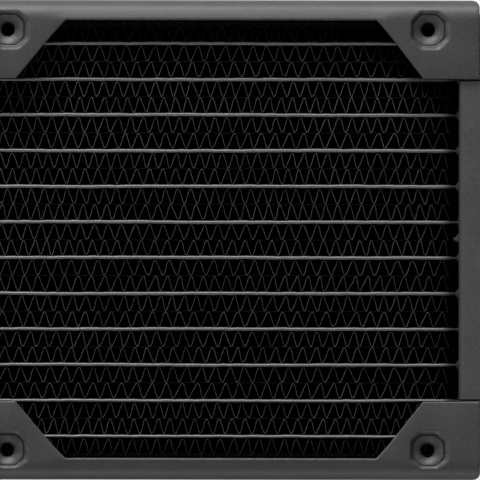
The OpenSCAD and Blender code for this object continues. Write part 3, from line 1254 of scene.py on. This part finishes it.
@dataclass
class Header(Part):
    """Header plate with a solder fillet round each tube.

    Attributes:
        side: 1 for the header at +X, -1 for the header at -X.
        tubes: Y of each tube.
        tube_half_t: Half thickness of a tube.
        tube_half_w: Half width of a tube.
        inset: Distance of the plate's edges within its node's.
        sunk: Distance of the bare plate's face within its node's.
        fillet: Height of the solder at a tube.
        reach: Distance from a tube over which the solder falls by a factor of e.
        seed: Seed of the solder's unevenness.
        bead: Y, Z and height of a spilt bead of solder.
    """

    look: ClassVar[str] = "soldered_"
    slot: ClassVar[str] = "tank_paint"

    side: int
    tubes: Array
    tube_half_t: float = 0.575
    tube_half_w: float = 10.5
    inset: float = 0.01
    sunk: float = 0.25
    fillet: float = 1.1
    reach: float = 0.55
    seed: int = 5
    bead: tuple[float, float, float] = (0.3, 10.5, 1.7)

    def solder(self, y: Array, z: Array) -> Array:
        """Height of the solder over the plate.

        It falls as exp(-distance / reach) from each tube's rounded slot, with a strength that wanders along
        the joint. The square of a product of random waves adds blots. The bead is exp(-q), where q is the
        sum of the squares of both distances from its middle over its half widths, of which one wanders.

        Args:
            y: Places across the plate.
            z: Places through the core's thickness.

        Returns:
            The height at each place.
        """
        height = np.zeros_like(y)
        for n, tube in enumerate(self.tubes):
            past = np.maximum(np.abs(z) - (self.tube_half_w - self.tube_half_t), 0)
            gap = np.hypot(y - tube, past) - self.tube_half_t
            share = 0.6 + wander(self.seed + n, z / 3 + n * 7.3, 1.0, 0.4)
            height = np.maximum(height, self.fillet * share * np.exp(-np.maximum(gap, 0) / self.reach))
        blot = wander(self.seed + 50, y * 1.3 + 11, 1.0, 1.0) * wander(self.seed + 51, z * 0.7, 1.0, 1.0)
        height = height + 0.35 * np.maximum(blot, 0) ** 2
        bead_y, bead_z, bead_height = self.bead
        ragged = 0.8 + wander(self.seed + 60, y * 3.1, 1.0, 0.3)
        return height + bead_height * np.exp(-(((y - bead_y) / ragged) ** 2 + ((z - bead_z) / 2.2) ** 2))

    def shell(self) -> Shell:
        """Plate whose face towards the core rises into solder, which fades out at the plate's edges.

        Returns:
            The plate's shell, in place.
        """
        half_y, half_z = self.half[1:] - self.inset
        near = self.tubes[:, None] + np.array([-1.9, -1.2, -0.85, -0.62, 0, 0.62, 0.85, 1.2, 1.9])
        spilt = self.bead[0] + np.linspace(-1.6, 1.6, 11)
        ys = np.unique(np.concatenate([near.reshape(-1), spilt, np.linspace(-half_y, half_y, 40)]))
        spans = (-half_z, -9.2, 14), (-8, 8, 9), (9.2, half_z, 14)
        zs = np.concatenate([np.linspace(*span) for span in spans])
        y, z = np.meshgrid(ys, zs, indexing="ij")
        height = self.solder(y, z) * smooth(np.minimum(half_y - np.abs(y), half_z - np.abs(z)), 0.0, 1.2)
        front, back = stacked(self.sunk - height, y, z), stacked(2 * self.half[0] - self.inset, y, z)
        number = np.arange(y.size).reshape(y.shape)
        rim = np.concatenate([number[:, 0], number[-1, 1:], number[-2::-1, -1], number[0, -2:0:-1]])
        ahead = np.roll(rim, -1)
        wall = stacked(ahead, ahead + y.size, rim + y.size, rim)
        quads = grid_faces(*y.shape)
        quads = np.concatenate([quads[:, ::-1], quads + y.size, wall])
        edge = np.stack([np.clip(height * 0.3, 0, 0.3), np.zeros_like(y)])
        shell = Shell(np.stack([front, back]), quads, edge=edge)
        face = self.low[0] if self.side > 0 else self.high[0]
        return shell.moved((self.side, 1, 1), (face, 0, self.middle[2]))


@dataclass
class PortBushing(Part):
    """Turned G1/4 port bushing with a cut thread.

    Attributes:
        minor: Minor radius of the thread.
        major: Major radius of the thread.
        pitch: Pitch of the thread.
        chamfer: Width and height of the chamfer at the mouth.
        barrel: Radius of the barrel in the tank.
        flange: Radius of the flange.
        proud: Height of the flange over the tank.
    """

    look: ClassVar[str] = "threaded_"
    slot: ClassVar[str] = "port_metal"
    sharp: ClassVar[float] = 50.0

    minor: float = 5.725
    major: float = 6.5
    pitch: float = 1.337
    chamfer: float = 0.9
    barrel: float = 8.0
    flange: float = 10.0
    proud: float = 2.0

    def shell(self) -> Shell:
        """Closed surface of revolution about the port's axis, with a helical thread inside it.

        The bore's radius is minor + (major - minor) times a clipped triangle wave of depth over pitch less
        the turn, faded out at both ends of the thread.

        Returns:
            The bushing's shell, in place, with its mouth towards -X.
        """
        length, mouth = 2 * self.half[0], self.minor + self.chamfer
        angle = circle(72)
        profile = [
            (length, 7.6, 0), (length - 0.4, self.barrel, 0), (self.proud, self.barrel, 0),
            (self.proud, self.flange - 0.3, 0.3), (self.proud - 0.3, self.flange, 0.8),
            (0.35, self.flange, 0.8), (0.1, self.flange - 0.12, 1), (0.0, self.flange - 0.4, 0.7),
            (0.0, 8.4, 0.1), (0.12, 8.3, 0.3), (0.12, 7.4, 0.1), (0.0, 7.3, 0.4),
            (0.0, mouth + 0.1, 0.8), (0.08, mouth, 1), (self.chamfer * 0.9, self.minor + 0.12, 0.4),
        ]
        depth = np.linspace(self.chamfer, length - 0.05, 44)[:, None]
        swing = (depth / self.pitch - angle / TURN) % 1
        fade = smooth(depth, self.chamfer, self.chamfer + 0.9) * smooth(depth, length, length - 0.8)
        tooth = np.clip(1.15 - np.abs(2 * swing - 1) * 1.3, 0, 1)
        bore = stacked(depth, self.minor + (self.major - self.minor) * tooth * fade, (1 - tooth) * 0.8)
        outside = np.repeat(np.array(profile)[:, None], len(angle), axis=1)
        x, radius, worn = np.moveaxis(np.concatenate([outside, bore]), -1, 0)
        y, z = self.middle[1] + radius * np.cos(angle), self.middle[2] + radius * np.sin(angle)
        return Shell(stacked(self.low[0] + x, y, z), grid_faces(*x.shape, wrap=True, close=True), edge=worn)


# --- core ---


@dataclass
class FlatTube(Part):
    """Drawn flat tube with rounded edges and the slight waves of a soldered core.

    Attributes:
        number: Its number, from -Y.
        wave: Largest sideways wave.
    """

    look: ClassVar[str] = "flat_"
    slot: ClassVar[str] = "tube_paint"

    number: int
    wave: float = 0.1

    def shell(self) -> Shell:
        """Stadium section carried along X and pinched at both ends.

        A point of the section lies half the thickness round the section's own straight core, and is drawn
        in sideways by a share that wanders. The section's centre moves sideways and its upper and lower
        edges move in by smooth random waves along X. Next to the headers the edges sink and the section
        thins.

        Returns:
            The tube's shell, in place.
        """
        low, high, half = self.low, self.high, self.half
        x = np.concatenate([[low[0]], np.linspace(low[0] + 0.05, high[0] - 0.05, 300), [high[0]]])[:, None]
        pinch = np.ones_like(x)
        pinch[[0, -1]] = 0.6
        a = np.linspace(0, math.pi, 9)
        sign = np.repeat([1.0, -1.0], 9)
        ring_y, ring_z = (half[1] * np.tile(part, 2) * sign * pinch for part in (np.cos(a), np.sin(a)))
        seed = 300 + self.number * 10
        away = smooth(np.minimum(x - low[0], high[0] - x), 4, 14)
        side = (wander(seed, x, 31.0, self.wave) + wander(seed + 1, x, 9.0, self.wave * 0.3)) * away
        side = side + wander(seed + 4, x, 1.7, 0.05) * away
        tip = smooth(np.abs(x - self.middle[0]), 117.2, 119.8)
        drop = 0.3 + wander(seed + 2, x, 12.0, 0.06) * away + 1.4 * tip
        thick = (0.78 + wander(seed + 3, x, 5.0, 0.02) + wander(seed + 5, x, 1.6, 0.05)) * (1 - 0.5 * tip)
        y = self.middle[1] + side + ring_y * thick
        z = self.middle[2] + sign * (half[2] - half[1] - drop) + ring_z
        caps = [(k, k + 1, 16 - k, 17 - k) for k in range(8)]
        # The edge value peaks along each crown, where the paint is lighter: rubbed wear and a painted
        # highlight.
        return Shell.swept(stacked(x, y, z), caps, np.tile(np.sin(a), 2) ** 3)


@dataclass
class FinStrip(Part):
    """Corrugated foil strip, hand-fed, so that its folds are never quite even.

    Attributes:
        number: Its number, from -Y.
        foil: Thickness of the foil.
        pitch: Mean length of one fold pair along X, which differs a little from strip to strip.
        uneven: Share by which the pitch drifts.
        lean: Share by which one leg of a fold is longer than the other.
    """

    look: ClassVar[str] = "folded_"
    slot: ClassVar[str] = "fin_paint"
    sharp: ClassVar[float] = 60.0

    number: int
    foil: float = 0.1
    pitch: float = 3.22
    uneven: float = 0.09
    lean: float = 0.05

    def path(self) -> Array:
        """Fold line seen from above.

        Across the strip it is asin(k * sin(phase)) / asin(k), a zigzag whose crests are the rounder the
        smaller k is, plus a share of the sine of the doubled phase that bows both legs. Along the strip, X
        grows with the phase, leans by the sine of the phase and drifts with a smooth random pitch.

        Returns:
            X and Y of its points.
        """
        seed = self.number * 3
        length = 2 * self.half[0] - 0.3
        pitch = self.pitch * (1 + np.random.default_rng(900 + self.number).uniform(-0.1, 0.11))
        folds = round(length / pitch)
        share = np.array([0, 0.05, 0.11, 0.19, 0.31, 0.39, 0.45, 0.5, 0.55, 0.61, 0.69, 0.81, 0.89, 0.95])
        turns = np.append((np.arange(folds)[:, None] + share).reshape(-1), folds)
        each = 1 + wander(seed + 1, np.arange(folds), 9.0, self.uneven)
        each = each + wander(seed + 2, np.arange(folds), 1.0, self.uneven * 0.55)
        knots = np.concatenate([[0], np.cumsum(each)])
        along = np.interp(turns, np.arange(folds + 1), knots / knots[-1] * length)
        phase = (turns + 0.75) * TURN
        lean = self.lean + wander(seed + 4, turns, 3.0, 0.09)
        x = self.low[0] + 0.15 + along + lean * (length / folds) * np.sin(phase) / 2
        k = 0.42 + wander(seed + 6, turns, 2.0, 0.35)
        wave = np.arcsin(k * np.sin(phase)) / np.arcsin(k)
        bow = (0.06 + wander(seed + 5, turns, 1.3, 0.22)) * np.sin(2 * phase)
        half = self.half[1] - self.foil * 0.55
        return stacked(x, self.middle[1] + half * np.clip(wave + bow * (1 - wave**2), -1, 1))

    def shell(self) -> Shell:
        """Foil carried along the fold line, with a bent ridge along its upper edge.

        Returns:
            The strip's shell, in place.
        """
        line = self.path()
        ahead = unit(np.gradient(line, axis=0))
        side = stacked(-ahead[:, 1], ahead[:, 0]) * self.foil / 2
        bent = stacked(wander(self.number * 7 + 3, line[:, 0], 1.6, 0.13), 0.0)
        top = self.high[2] - 0.06 - np.abs(wander(self.number * 7 + 5, line[:, 0], 2.2, 0.12))
        base = self.low[2]
        columns = [(-side, base), (-side + bent, top - 0.05), (bent, top),
                   (side + bent, top - 0.05), (side, base)]
        rows = np.stack([stacked(*(line + shift).T, z) for shift, z in columns], axis=1)
        rows[..., 1] = np.clip(rows[..., 1], self.low[1] + 0.002, self.high[1] - 0.002)
        # The ridge's edge value of 1 takes the fin paint's painted highlight.
        return Shell.swept(rows, [(0, 1, 2), (0, 2, 4), (4, 2, 3)], [0, 0.15, 1, 0.15, 0])


@dataclass
class SplitterSheets(Part):
    """Flat sheets between the two fin strips of each gap.

    Attributes:
        places: Y of each sheet.
        thick: Thickness of a sheet.
        sunk: Distance of a sheet's edges below the fins' edges.
    """

    look: ClassVar[str] = "thin_"
    slot: ClassVar[str] = "fin_paint"

    places: Array
    thick: float = 0.14
    sunk: float = 2.2

    def shell(self) -> Shell:
        """Thin upright sheets whose upper edges sink by a smooth random wave.

        Returns:
            The shell of all sheets, in place.
        """
        x = np.linspace(self.low[0], self.high[0], 120)[:, None]
        base = np.full_like(x, self.low[2] + self.sunk)
        sheets = []
        for n, place in enumerate(self.places):
            top = self.high[2] - self.sunk - np.abs(wander(70 + n, x, 3.0, 0.2))
            y = np.array([-1, -1, 1, 1]) * self.thick / 2 + place
            rows = stacked(x, y, np.concatenate([base, top, top, base], axis=1))
            sheets.append(Shell.swept(rows, [(0, 1, 2, 3)], [0, 0.02, 0.02, 0]))
        return Shell.joined(sheets)


# --- studio ---


@dataclass(frozen=True)
class Softbox:
    """Rectangular studio lamp.

    Attributes:
        name: Name of the lamp.
        place: Its place in metres.
        size: Its width and height in metres.
        power: Its power in watts.
        aim: Point that it faces.
    """

    name: str
    place: tuple[float, float, float]
    size: tuple[float, float]
    power: float
    aim: tuple[float, float, float] = (0.0, 0.0, 0.02)

    def build(self) -> bpy.types.Object:
        """Makes the lamp.

        Returns:
            The lamp's object.
        """
        data = bpy.data.lights.new(self.name, "AREA")
        data.shape, data.size, data.size_y = "RECTANGLE", *self.size
        data.energy = self.power
        made = placed(data)
        made.location = self.place
        made.rotation_euler = (Vector(self.aim) - Vector(self.place)).to_track_quat("-Z", "Y").to_euler()
        return made


@dataclass
class Studio:
    """Pale floor, soft lamps, white surroundings and the camera. Sizes are in metres.

    Attributes:
        lamps: The softboxes.
        target: Point that the camera looks down at.
        width: Width of the view at the target.
        roll: Turn of the camera about its own axis, in degrees.
        distance: Distance of the camera from the target.
        sensor: Width of the camera's sensor in millimetres, which with the distance sets its lens.
        ambient: Strength of the surroundings' light.
    """

    lamps: tuple[Softbox, ...] = (
        Softbox("key_lamp", (-0.25, 1.4, 0.52), (1.6, 0.55), 36.5),
        Softbox("high_lamp", (-0.3, 0.9, 1.4), (0.7, 0.7), 4.0),
        Softbox("near_lamp", (-0.1, 0.42, 0.26), (0.35, 0.25), 1.4),
        Softbox("fill_lamp", (-0.35, -1.4, 0.3), (1.4, 0.4), 8.0),
    )
    target: tuple[float, float, float] = (0.07210, 0.0, 0.03)
    width: float = 0.11983
    roll: float = 0.09
    distance: float = 2.6
    sensor: float = 36.0
    ambient: float = 0.12

    def camera(self) -> bpy.types.Object:
        """Makes the camera, with its picture's upper side towards +Y.

        Returns:
            The camera's object.
        """
        data = bpy.data.cameras.new("camera")
        data.sensor_width = self.sensor
        data.lens = self.sensor * self.distance / self.width
        data.clip_start, data.clip_end = 0.1, 50.0
        made = placed(data)
        turn = Matrix.Rotation(math.radians(self.roll), 4, "Z")
        away = Matrix.Translation((0, 0, self.distance))
        made.matrix_world = Matrix.Translation(self.target) @ turn @ away
        bpy.context.scene.camera = made
        return made

    def paper(self) -> bpy.types.Material:
        """Makes the floor's paper, which glows white to the camera and, farther out, in reflections.

        Under the radiator it is painted dark as shade and doesn't glow, within a rectangle a little smaller
        than its box.

        Returns:
            The new material.
        """
        material, t = new_material("floor_paper")
        place = t.place()
        # Painted shade: under the radiator the paper is near black and doesn't glow.
        across = (t.axis(place, "X") / (CAD_BOUNDS[1][0] - 0.008)).apply("ABSOLUTE")
        along = (t.axis(place, "Y") / (CAD_BOUNDS[1][1] - 0.003)).apply("ABSOLUTE")
        clear = across.apply("MAXIMUM", along).ramp(0.97, 1.0)
        tone = t.mixed(t.noise(place, 120.0), grey(0.80), grey(0.83))
        paper = t.principled({"Base Color": t.mixed(clear, grey(0.02), tone), "Roughness": 0.9})
        glow = t.add("ShaderNodeEmission", {}, {"Color": grey(1.0), "Strength": 1.0})
        away = t.add("ShaderNodeVectorMath", {"operation": "LENGTH"}, {0: place}, "Value").ramp(0.1, 0.25)
        shine = t.ray("Camera").apply("MAXIMUM", t.beheld() * away) * clear
        shader = t.add("ShaderNodeMixShader", {}, {0: shine * 0.85, 1: paper, 2: glow})
        t.node("ShaderNodeOutputMaterial", {}, {"Surface": shader})
        return material

    def floor(self) -> bpy.types.Object:
        """Makes a large, flat, round floor.

        Returns:
            The floor's object.
        """
        radius = np.array([0.02, 0.2, 0.6, 1.2, 2.4, 5.0, 10.0, 16.0])[:, None]
        angle = circle(96)
        points = stacked(radius * np.cos(angle), radius * np.sin(angle), 0.0).reshape(-1, 3)
        quads = grid_faces(len(radius), len(angle), wrap=True)
        mesh = bpy.data.meshes.new("floor")
        mesh.from_pydata(points.tolist(), [], [*quads.tolist(), list(range(len(angle)))])
        mesh.polygons.foreach_set("use_smooth", np.ones(len(mesh.polygons), bool))
        made = placed(mesh, self.paper())
        return made

    def world(self) -> None:
        """White surroundings: white to the camera and in reflections, a plain ambient light to the rest."""
        world = bpy.data.worlds.new("studio")
        bpy.context.scene.world = world
        world.use_nodes = True
        t = ShaderTree(world.node_tree)
        strength = t.beheld() * (1.0 - self.ambient) + self.ambient
        shine = t.add("ShaderNodeBackground", {}, {"Color": grey(1.0), "Strength": strength})
        t.node("ShaderNodeOutputWorld", {}, {"Surface": shine})

    def build(self) -> None:
        """Makes the floor, the surroundings, the lamps and the camera."""
        self.floor()
        self.world()
        for lamp in self.lamps:
            lamp.build()
        self.camera()
        bpy.context.scene.view_settings.view_transform = "Standard"
        log.info("studio ready")


# --- assembly ---


@dataclass
class Radiator:
    """The whole radiator: which piece stands for which CAD node, and its finish.

    Attributes:
        rail_paint: Finish of the side rails.
        tank_paint: Finish of the tanks.
        joint_paint: Finish of the soldered headers.
        port_metal: Finish of the port bushings.
        tube_paint: Finish of the flat tubes.
        foil_paint: Finish of the fins and splitters.
        core_paint: Finish of the core's side plates and the flow divider, which keep their shape.
    """

    rail_paint: Paint = Paint("rail_enamel", 0.016, 0.044, 0.46)
    # mouth paints shade along the open edge of each tank.
    tank_paint: Paint = Paint("tank_enamel", 0.026, 0.056, 0.44, peel=0.6, mouth=120.4)
    joint_paint: Paint = Paint("joint_enamel", 0.012, 0.02, 0.5, peel=0.8, worn=0.05, wear=0.2)
    port_metal: PlatedBrass = PlatedBrass("plated_brass", 0.05, (0.5, 0.42, 0.28, 1.0))
    # clear paints shade near black towards the headers and the +Y fan plates' shadow on the tubes.
    tube_paint: Paint = Paint("tube_enamel", 0.030, 0.044, 0.34, peel=0.5, worn=0.075, spec=0.6, clear=114.4)
    # The fin paint's edge colour is a painted highlight and its deep colour painted shade.
    foil_paint: FoilPaint = FoilPaint("foil_enamel", 0.002, 0.17)
    core_paint: Paint = Paint("core_enamel", 0.014, 0.02, 0.55)

    def build(self) -> None:
        """Builds every sub-assembly in order, and dresses the nodes that keep their shape."""
        names = sorted(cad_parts)
        kinds = ("tube_", "fin_strip_", "_port_bushing")
        tubes, strips, ports = ([name for name in names if kind in name] for kind in kinds)
        tube_y, strip_y, port_y = (np.array([middle(n)[1] for n in kind]) for kind in (tubes, strips, ports))
        groups = [
            (self.rail_paint, [SideRail("side_rail_left", 1),
                               SideRail("side_rail_right", -1, flange=55.19, longer=0.6)]),
            (self.tank_paint, [Tank("return_tank", 1), Tank("supply_tank", -1, ports=port_y)]),
            (self.joint_paint, [Header("return_header", 1, tube_y),
                                Header("supply_header", -1, tube_y, seed=9)]),
            (self.port_metal, [PortBushing(name) for name in ports]),
            (self.tube_paint, [FlatTube(name, k) for k, name in enumerate(tubes, 1)]),
            (self.foil_paint, [*(FinStrip(name, k) for k, name in enumerate(strips, 1)),
                               SplitterSheets("fin_splitters", (strip_y[::2] + strip_y[1::2]) / 2)]),
        ]
        for finish, parts in groups:
            material = finish.build()
            for part in parts:
                part.build(material)
        core = self.core_paint.build()
        for node in ("core_side_plate_left", "core_side_plate_right", "flow_divider"):
            dress(node, core)


def main() -> None:
    """Builds the studio and the radiator."""
    logging.basicConfig(level=logging.INFO, format="%(name)s %(message)s")
    Studio().build()
    Radiator().build()


if __name__ == "__main__":
    main()
